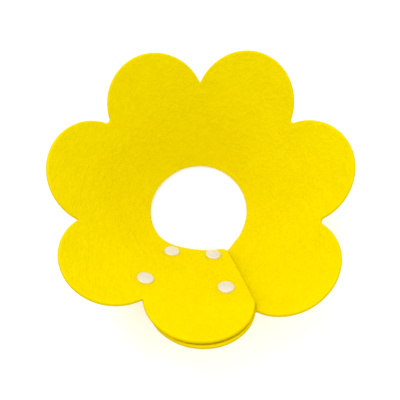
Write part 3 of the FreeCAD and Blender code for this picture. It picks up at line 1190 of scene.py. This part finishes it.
    def roll_up(self, mesh: FeltMesh) -> None:
        """Give the sheet its solid shape: two faces, a rounded cut edge, waves and dimples.

        Args:
            mesh: The sheet, laid out flat.
        """
        slant, angle = self.form.from_flat(mesh.flat, self.pattern.middle)
        lower_layer = angle < self.pattern.closure_angle + 180
        settled = self.tip_settle * smooth((slant - self.settle_slant) / self.settle_run)
        settled *= smooth((angle - self.pattern.cusp(self.pattern.petal_count - 1)) / self.settle_run)
        middle = self.form.lift(angle) + self.waves(mesh.flat) - settled
        back = np.clip(self.edge_round - mesh.depth, 0.0, self.edge_round)
        half = self.form.thickness / 2 - self.edge_round + np.sqrt(self.edge_round ** 2 - back ** 2)
        inland = smooth(mesh.depth / self.dapple_ease)
        dapples = self.dapples(mesh.flat) * inland
        mesh.upper = self.form.place(slant, angle, middle + half + dapples)
        dapples = self.dapples(-mesh.flat) * inland
        mesh.lower = self.form.place(slant, angle, middle - half + dapples)
        count = mesh.edge_count
        outline = mesh.flat[:count]
        bulged = outline + outward_of(outline) * self.rim_bulge
        rim_slant, rim_angle = self.form.from_flat(bulged, self.pattern.middle)
        mesh.rim = self.form.place(rim_slant, rim_angle, middle[:count])
        # Painted contact shade round every snap seat, filled in by press_in.
        mesh.press_shade = np.zeros(len(mesh.flat))
        for axis in self.snaps.values():
            for side, (seat, face) in enumerate((("cap", mesh.upper), ("socket", mesh.lower),
                                                 ("stud", mesh.upper), ("back", mesh.lower))):
                on_layer = lower_layer if side >= 2 else ~lower_layer
                self.press_in(face, on_layer, axis, seat, mesh.press_shade)
        for face in (mesh.upper, mesh.lower, mesh.rim):
            face[:, 2] = np.maximum(face[:, 2], 0.0)

    def press_in(self, face: np.ndarray, on_layer: np.ndarray, axis: SnapAxis, seat: str,
                 press_shade: np.ndarray) -> None:
        """Press one snap part's seat into one face of the felt, and paint contact shade round its
        edge.

        Args:
            face: Places of the face's points, changed in place.
            on_layer: Which points belong to the layer that the part sits on.
            axis: The snap's axis.
            seat: Name of the seat.
            press_shade: How much painted contact shade each point gets round the seat, changed in
                place.
        """
        radius, level = self.seats[seat]
        away = face - axis.middle
        height = away @ axis.axis
        distance = np.linalg.norm(away - height[:, None] * axis.axis, axis=1)
        near = on_layer & (np.abs(height - level) < self.seat_search)
        share = np.where(near, 1 - smooth((distance - radius) / self.dimple_reach), 0.0)
        step = (level - height) * share
        step = np.minimum(step, 0.0) if seat in ("cap", "stud") else np.maximum(step, 0.0)
        face += step[:, None] * axis.axis
        # Painted contact shade: a ring that fades out just beyond the seat's edge.
        beyond = (distance - radius + self.press_shade_lead) / self.press_shade_run
        np.maximum(press_shade, np.where(near, 1 - smooth(beyond), 0.0), out=press_shade)

    def waves(self, flat: np.ndarray) -> np.ndarray:
        """Slow waves of the sheet, in millimetres off the cone."""
        return self.wave_height * noise_field(flat / self.wave_length, self.wave_seed)

    def dapples(self, flat: np.ndarray) -> np.ndarray:
        """Small uneven places of the felt's thickness, in millimetres."""
        return self.dapple_height * noise_field(flat / self.dapple_length, self.dapple_seed)

    # ---- pieces

    def split(self, mesh: FeltMesh) -> dict[FeltPiece, list[tuple[int, ...]]]:
        """Share the triangles out among the three pieces.

        Args:
            mesh: The whole sheet.

        Returns:
            The triangles of each piece.
        """
        corners = np.array(mesh.faces)
        centres = mesh.flat[corners].mean(axis=1)
        angle = self.form.from_flat(centres, self.pattern.middle)[1]
        number = np.digitize(angle, self.seam_angles())
        return {piece: [face for face, where in zip(mesh.faces, number) if where == index]
                for index, piece in enumerate(FeltPiece)}

    def seam_angles(self) -> list[float]:
        """Angles of the two seams."""
        return [self.pattern.cusp(1), self.pattern.cusp(self.pattern.petal_count - 2)]

    def build(self, material: bpy.types.Material) -> list[bpy.types.Object]:
        """Args:
            material: The felt's material.

        Returns:
            The pieces.
        """
        mesh = self.lay_out()
        self.roll_up(mesh)
        normals = self.whole_normals(mesh)
        made = []
        for piece, faces in self.split(mesh).items():
            thing = self.solid_piece(piece, mesh, faces, normals)
            thing.data.materials.append(material)
            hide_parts(piece.node)
            self.attach(thing, piece)
            self.declare(mesh, faces)
            made.append(thing)
        return made

    def whole_normals(self, mesh: FeltMesh) -> np.ndarray:
        """Normals of the unsplit sheet, for the upper points, the lower points and the rim.

        Args:
            mesh: The whole sheet.

        Returns:
            The normals, one row each.
        """
        count = len(mesh.flat)
        border = mesh.edge_count
        places = np.vstack([mesh.upper, mesh.lower, mesh.rim])
        faces = [*mesh.faces, *(tuple(count + c for c in reversed(face)) for face in mesh.faces)]
        for index in range(border):
            faces += self.rim_quads(index, (index + 1) % border, count)
        whole = bpy.data.meshes.new("whole_felt")
        whole.from_pydata(places.tolist(), [], faces)
        whole.update()
        normals = np.empty(len(places) * 3, np.float32)
        whole.vertex_normals.foreach_get("vector", normals)
        bpy.data.meshes.remove(whole)
        return normals.reshape(-1, 3)

    @staticmethod
    def rim_quads(first: int, second: int, count: int) -> list[tuple[int, ...]]:
        """The two quads of the cut edge between two neighbouring points of the outline.

        Args:
            first: Number of the first point.
            second: Number of the point after it.
            count: Number of points of the sheet.

        Returns:
            The two quads.
        """
        rim = 2 * count
        return [(second, first, rim + first, rim + second),
                (rim + second, rim + first, count + first, count + second)]

    def solid_piece(self, piece: FeltPiece, mesh: FeltMesh, faces: list[tuple[int, ...]],
                    normals: np.ndarray) -> bpy.types.Object:
        """Make one closed piece of the sheet.

        Args:
            piece: Which piece.
            mesh: The whole sheet.
            faces: The piece's triangles.
            normals: Normals of the whole sheet.

        Returns:
            The object.
        """
        count, border = len(mesh.flat), mesh.edge_count
        used = {corner for face in faces for corner in face}
        solid = [*faces, *(tuple(count + corner for corner in reversed(face)) for face in faces)]
        sides = {frozenset(pair) for face in faces for pair in zip(face, face[1:] + face[:1])}
        for index in range(border):
            after = (index + 1) % border
            if frozenset((index, after)) in sides:
                solid += self.rim_quads(index, after, count)
        smooth_count = len(solid)
        for chain in mesh.seams:
            if chain[len(chain) // 2] in used:
                solid += self.seam_faces(chain, count, faces)
        places = np.vstack([mesh.upper, mesh.lower, mesh.rim])
        kept = sorted({corner for face in solid for corner in face})
        renumber = {old: new for new, old in enumerate(kept)}
        data = bpy.data.meshes.new(piece.label)
        data.from_pydata((places[kept] * MM).tolist(), [],
                         [tuple(renumber[corner] for corner in face) for face in solid])
        self.write_attributes(data, mesh, np.array(kept))
        data.polygons.foreach_set("use_smooth", [True] * len(data.polygons))
        loops = []
        for number, face in enumerate(solid):
            flat_normal = data.polygons[number].normal
            loops += [normals[corner] if number < smooth_count else flat_normal for corner in face]
        data.normals_split_custom_set([tuple(normal) for normal in loops])
        return in_scene(data)

    @staticmethod
    def seam_faces(chain: list[int], count: int,
                   faces: list[tuple[int, ...]]) -> list[tuple[int, ...]]:
        """Close a piece along a seam.

        Args:
            chain: Numbers of the seam's points, from the cusp to the neck.
            count: Number of points of the sheet.
            faces: The piece's triangles, which tell the side that the piece lies on.

        Returns:
            The closing faces.
        """
        along = list(zip(chain, chain[1:]))
        directed = {pair for face in faces for pair in zip(face, face[1:] + face[:1])}
        forward = along[len(along) // 2] in directed
        closing = []
        for first, second in along:
            ring = [second, first, count + first, count + second]
            if first == chain[0]:
                ring.insert(2, 2 * count + first)
            if second == chain[-1]:
                ring.append(2 * count + second)
            closing.append(tuple(ring if forward else reversed(ring)))
        return closing

    def write_attributes(self, data: bpy.types.Mesh, mesh: FeltMesh, kept: np.ndarray) -> None:
        """Store what the material reads: place on the cloth, depth from the edge, and the painted
        contact shade round the snaps.

        Args:
            data: The piece's mesh.
            mesh: The whole sheet.
            kept: Numbers of the piece's points in the whole sheet.
        """
        count = len(mesh.flat)
        own = np.where(kept < 2 * count, kept % count, kept - 2 * count)
        side = np.where(kept < count, 0.5, np.where(kept < 2 * count, -0.5, 0.0))
        cloth = np.column_stack([mesh.flat[own], side * self.form.thickness]) * MM
        data.attributes.new("cloth", "FLOAT_VECTOR", "POINT").data.foreach_set(
            "vector", cloth.astype(np.float32).ravel())
        depth = np.where(kept < 2 * count, mesh.depth[own], -RIM_DEPTH)
        scaled = (depth + RIM_DEPTH) / DEPTH_UNIT
        for name, values in (("edge_depth", scaled), ("press_shade", mesh.press_shade[own])):
            data.attributes.new(name, "FLOAT", "POINT").data.foreach_set(
                "value", values.astype(np.float32))

    def attach(self, thing: bpy.types.Object, piece: FeltPiece) -> None:
        """Ride the ring on its body; for each end, look up its fold's joint and bake the end's
        placement into its mesh.

        Args:
            thing: The piece's object.
            piece: Which piece.
        """
        if piece is FeltPiece.RING:
            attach(thing, "ring")
            return
        fold = self.folds[piece]
        joint = next(row for row in frame["joints"] if row["name"] == fold.joint)
        pivot = Vector(joint["pos_m"])
        middle = sum(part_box(piece.node), Vector()) / 2
        axis = Vector(joint["axis"])
        away = axis.cross(Vector((0, 0, 1))).normalized()
        if away.dot(middle - pivot) < 0:
            away = -away
        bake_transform(thing)

    def declare(self, mesh: FeltMesh, faces: list[tuple[int, ...]]) -> None:
        """Work out the area of a piece's triangles on the flat pattern; nothing uses it.

        Args:
            mesh: The whole sheet.
            faces: The piece's triangles.
        """
        corners = mesh.flat[np.array(faces)]
        first, second = corners[:, 1] - corners[:, 0], corners[:, 2] - corners[:, 0]
        area = float(np.abs(first[:, 0] * second[:, 1] - first[:, 1] * second[:, 0]).sum()) / 2


# ---------------------------------------------------------------- the snaps

class SnapPart(Enum):
    """The four mouldings of a snap: name, body that carries it and material slot."""

    CAP = ("cap", "upper_end", "snap_cap")
    SOCKET = ("socket", "upper_end", "snap_inner")
    STUD = ("stud", "lower_end", "snap_inner")
    BACK = ("back_cap", "lower_end", "snap_cap")

    def __init__(self, label: str, body: str, slot: str) -> None:
        """Keep the three names apart."""
        self.label, self.body, self.slot = label, body, slot


@dataclass(frozen=True)
class PressSnap:
    """One press snap, turned about its axis; heights in millimetres from the upper felt's middle."""

    where: str
    axis: SnapAxis
    cap_radius: float = 6.2
    back_radius: float = 5.4
    plate_radius: float = 5.0
    post_radius: float = 1.0
    rivet_radius: float = 1.6
    segments: int = 72
    scallops: int = 8
    scallop_depth: float = 0.22
    scallop_start: float = 3.0
    scallop_margin: float = 0.3
    sharp_angle: float = 50.0

    def cap_profile(self) -> list[Vector]:
        """Cap with a rolled rim, a shallow dome and its riveted post.

        Returns:
            Points of its profile, each a radius and a height.
        """
        cap = self.cap_radius
        return rounded_profile([
            Corner(0.0, -2.28), Corner(self.rivet_radius, -2.28, 0.18),
            Corner(self.rivet_radius, -1.92, 0.15), Corner(self.post_radius, -1.92, 0.1),
            Corner(self.post_radius, 1.18, 0.15), Corner(cap - 0.9, 1.18, 0.3),
            Corner(cap - 0.35, 0.98, 0.2), Corner(cap, 1.12, 0.18), Corner(cap, 1.86, 0.42),
            Corner(cap * 0.86, 2.34, 1.6), Corner(cap * 0.6, 2.70, 3.0), Corner(cap * 0.3, 2.86, 3.0),
            Corner(0.85, 2.885, 0.25), Corner(0.45, 2.80, 0.2), Corner(0.0, 2.80)])

    def socket_profile(self) -> list[Vector]:
        """Socket: a flange against the felt, a deep ring and a bead that grips the stud.

        Returns:
            Points of its profile, each a radius and a height.
        """
        edge = self.plate_radius
        return rounded_profile([
            Corner(self.post_radius, -1.2), Corner(self.post_radius, -1.9, 0.05),
            Corner(2.75, -1.9, 0.25), Corner(2.75, -2.9, 0.3), Corner(2.62, -3.25, 0.25),
            Corner(2.85, -3.6, 0.2), Corner(edge - 1.15, -3.6, 0.35), Corner(edge - 0.9, -2.35, 0.4),
            Corner(edge, -2.2, 0.3), Corner(edge, -1.2, 0.25), Corner(self.post_radius, -1.2)])

    def stud_profile(self) -> list[Vector]:
        """Stud: a flange against the felt with a knob, hollow for the rivet.

        Returns:
            Points of its profile, each a radius and a height.
        """
        edge = self.plate_radius
        return rounded_profile([
            Corner(self.post_radius, -4.4), Corner(edge, -4.4, 0.2), Corner(edge, -3.7, 0.3),
            Corner(2.3, -3.7, 0.3), Corner(1.84, -3.4, 0.3), Corner(2.0, -2.85, 0.25),
            Corner(1.86, -2.57, 0.12), Corner(self.rivet_radius, -2.57, 0.05),
            Corner(self.rivet_radius, -2.95, 0.05), Corner(self.post_radius, -2.95),
            Corner(self.post_radius, -4.4)])

    def back_profile(self) -> list[Vector]:
        """Plain back cap with its riveted post.

        Returns:
            Points of its profile, each a radius and a height.
        """
        edge = self.back_radius
        return rounded_profile([
            Corner(0.0, -2.57), Corner(self.rivet_radius - 0.03, -2.57, 0.1),
            Corner(self.rivet_radius - 0.03, -2.93, 0.1), Corner(self.post_radius, -2.93, 0.1),
            Corner(self.post_radius, -6.78, 0.15), Corner(edge - 0.8, -6.78, 0.3),
            Corner(edge - 0.3, -6.6, 0.18), Corner(edge, -6.7, 0.15), Corner(edge, -7.42, 0.4),
            Corner(edge * 0.8, -7.95, 1.6), Corner(edge * 0.4, -8.2, 3.0), Corner(0.0, -8.27)])

    def profile(self, part: SnapPart) -> list[Vector]:
        """Profile of one moulding."""
        return {SnapPart.CAP: self.cap_profile, SnapPart.SOCKET: self.socket_profile,
                SnapPart.STUD: self.stud_profile, SnapPart.BACK: self.back_profile}[part]()

    def turned_mesh(self, part: SnapPart) -> bpy.types.Mesh:
        """Turn one moulding about the snap's axis.

        Args:
            part: Which moulding.

        Returns:
            The mesh, in the row frame in metres.
        """
        profile = self.profile(part)
        closed = (profile[0] - profile[-1]).length < SAME_PLACE
        if closed:
            profile = profile[:-1]
        solid = bmesh.new()
        rings = []
        for point in profile:
            if point.x < SAME_PLACE:
                rings.append([solid.verts.new((0.0, 0.0, point.y))] * self.segments)
                continue
            ring = []
            for step in range(self.segments):
                turn = 2 * math.pi * step / self.segments
                radius = point.x + self.scallop(part, point, turn)
                place = (radius * math.cos(turn), radius * math.sin(turn), point.y)
                ring.append(solid.verts.new(place))
            rings.append(ring)
        pairs = list(zip(rings, rings[1:])) + ([(rings[-1], rings[0])] if closed else [])
        for first, second in pairs:
            for step in range(self.segments):
                after = (step + 1) % self.segments
                corners = [first[step], first[after], second[after], second[step]]
                solid.faces.new(list(dict.fromkeys(corners)))
        bmesh.ops.recalc_face_normals(solid, faces=solid.faces)
        widest = max(point.x for point in profile)
        solid.verts.index_update()
        outward = [math.hypot(vertex.co.x, vertex.co.y) / widest for vertex in solid.verts]
        solid.transform(self.axis.matrix())
        data = bpy.data.meshes.new(f"snap_{part.label}_{self.where}")
        solid.to_mesh(data)
        solid.free()
        data.polygons.foreach_set("use_smooth", [True] * len(data.polygons))
        data.set_sharp_from_angle(angle=math.radians(self.sharp_angle))
        data.attributes.new("out_from_axis", "FLOAT", "POINT").data.foreach_set("value", outward)
        return data

    def scallop(self, part: SnapPart, point: Vector, turn: float) -> float:
        """Finger scallops on the socket's ring, which tell it from the stud.

        Args:
            part: Which moulding.
            point: Point of its profile.
            turn: Angle round the axis.

        Returns:
            What is added to the point's radius.
        """
        outer = self.plate_radius - self.scallop_margin
        if part is not SnapPart.SOCKET or not self.scallop_start < point.x < outer:
            return 0.0
        return -self.scallop_depth * max(0.0, math.cos(self.scallops * turn)) ** 4

    def build(self, finishes: dict[str, bpy.types.Material]) -> list[bpy.types.Object]:
        """Make the four mouldings, dress them and ride them on their bodies.

        Args:
            finishes: Material for each material slot.

        Returns:
            The pieces.
        """
        made = []
        for part in SnapPart:
            data = self.turned_mesh(part)
            data.materials.append(finishes[part.slot])
            thing = in_scene(data)
            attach(thing, part.body)
            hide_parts(f"{part.label}_{self.where}")
            made.append(thing)
        return made


# ---------------------------------------------------------------- the studio

@dataclass(frozen=True)
class SoftLight:
    """One large soft lamp, aimed at the collar."""

    name: str
    place: tuple[float, float, float]
    width: float
    power: float


@dataclass(frozen=True)
class Studio:
    """Pale floor, soft light and the camera; metres and degrees, and the lens in millimetres."""

    floor_half: float = 2.5
    world_strength: float = 1.04
    distance: float = 0.400
    elevation: float = 76.1
    azimuth: float = 267.9
    roll: float = -2.24
    lens: float = 42.7
    shift: tuple[float, float] = (0.0006, 0.0265)
    lights: tuple[SoftLight, ...] = (
        SoftLight("key_light", (-0.45, 0.97, 1.22), 1.0, 12.0),
        SoftLight("fill_light", (0.3, -0.6, 1.5), 1.4, 6.5),
    )

    def build(self, paper: bpy.types.Material) -> None:
        """Set up the whole studio.

        Args:
            paper: The floor's material.
        """
        self.lay_floor(paper)
        self.fill_world()
        for light in self.lights:
            self.hang(light)
        self.stand_camera()
        settings = bpy.context.scene.view_settings
        settings.view_transform = "Standard"

    def lay_floor(self, paper: bpy.types.Material) -> None:
        """Lay the floor under the collar's lowest point.

        Args:
            paper: The floor's material.
        """
        height = CAD_BOX[0].z
        edge = self.floor_half
        data = bpy.data.meshes.new("floor")
        data.from_pydata([(-edge, -edge, height), (edge, -edge, height),
                          (edge, edge, height), (-edge, edge, height)], [], [(0, 1, 2, 3)])
        data.materials.append(paper)
        in_scene(data)

    def fill_world(self) -> None:
        """Light everything evenly with a white surround."""
        world = bpy.data.worlds.new("white_surround")
        world.use_nodes = True
        ground = world.node_tree.nodes["Background"]
        ground.inputs["Color"].default_value = (1.0, 1.0, 1.0, 1.0)
        ground.inputs["Strength"].default_value = self.world_strength
        bpy.context.scene.world = world

    @staticmethod
    def hang(light: SoftLight) -> None:
        """Hang one lamp.

        Args:
            light: The lamp.
        """
        data = bpy.data.lights.new(light.name, "AREA")
        data.shape = "DISK"
        data.size = light.width
        data.energy = light.power
        lamp = in_scene(data)
        lamp.location = light.place
        lamp.rotation_euler = Vector(light.place).to_track_quat("Z", "Y").to_euler()

    def stand_camera(self) -> None:
        """Stand the camera above the collar, a little in front of it."""
        height, turn = math.radians(self.elevation), math.radians(self.azimuth)
        back = Vector((math.cos(height) * math.cos(turn), math.cos(height) * math.sin(turn),
                       math.sin(height)))
        level = Vector((-math.sin(turn), math.cos(turn), 0.0))
        upright = back.cross(level)
        roll = math.radians(self.roll)
        right = level * math.cos(roll) - upright * math.sin(roll)
        up = level * math.sin(roll) + upright * math.cos(roll)
        data = bpy.data.cameras.new("camera")
        data.lens = self.lens
        data.shift_x, data.shift_y = self.shift
        camera = in_scene(data)
        turned = Matrix((right, up, back)).transposed().to_4x4()
        camera.matrix_world = Matrix.Translation(back * self.distance) @ turned
        bpy.context.scene.camera = camera


# ---------------------------------------------------------------- the collar

@dataclass
class FlowerCollar:
    """The whole collar: the felt sheet and its four snaps."""

    form: ConeForm = field(default_factory=ConeForm)
    rim_middle: float = 1.5
    snap_names: tuple[str, ...] = ("neck_left", "neck_right", "outer_left", "outer_right")

    def build(self, groups: SharedGroups) -> list[bpy.types.Object]:
        """Make every piece of the collar.

        Args:
            groups: The shared node groups.

        Returns:
            The pieces.
        """
        axes = {name: SnapAxis.from_frame(name, self.rim_middle) for name in self.snap_names}
        felt = FeltSheet(self.form, PetalPattern(self.form), axes)
        pieces = felt.build(FeltFinish().material(groups))
        inner = SnapPlasticFinish("snap_plastic_inner", gloss=0.36)
        finishes = {"snap_cap": SnapPlasticFinish().material(groups),
                    "snap_inner": inner.material(groups)}
        for name, axis in axes.items():
            pieces += PressSnap(name, axis).build(finishes)
        return pieces


def main() -> None:
    """Build the collar and the studio, and report each piece."""
    logging.basicConfig(level=logging.INFO, format="%(message)s")
    groups = SharedGroups.made()
    collar = FlowerCollar()
    for piece in collar.build(groups):
        LOG.info("made %s", piece.name)
    Studio().build(FloorFinish().material(groups))


if __name__ == "__main__":
    main()
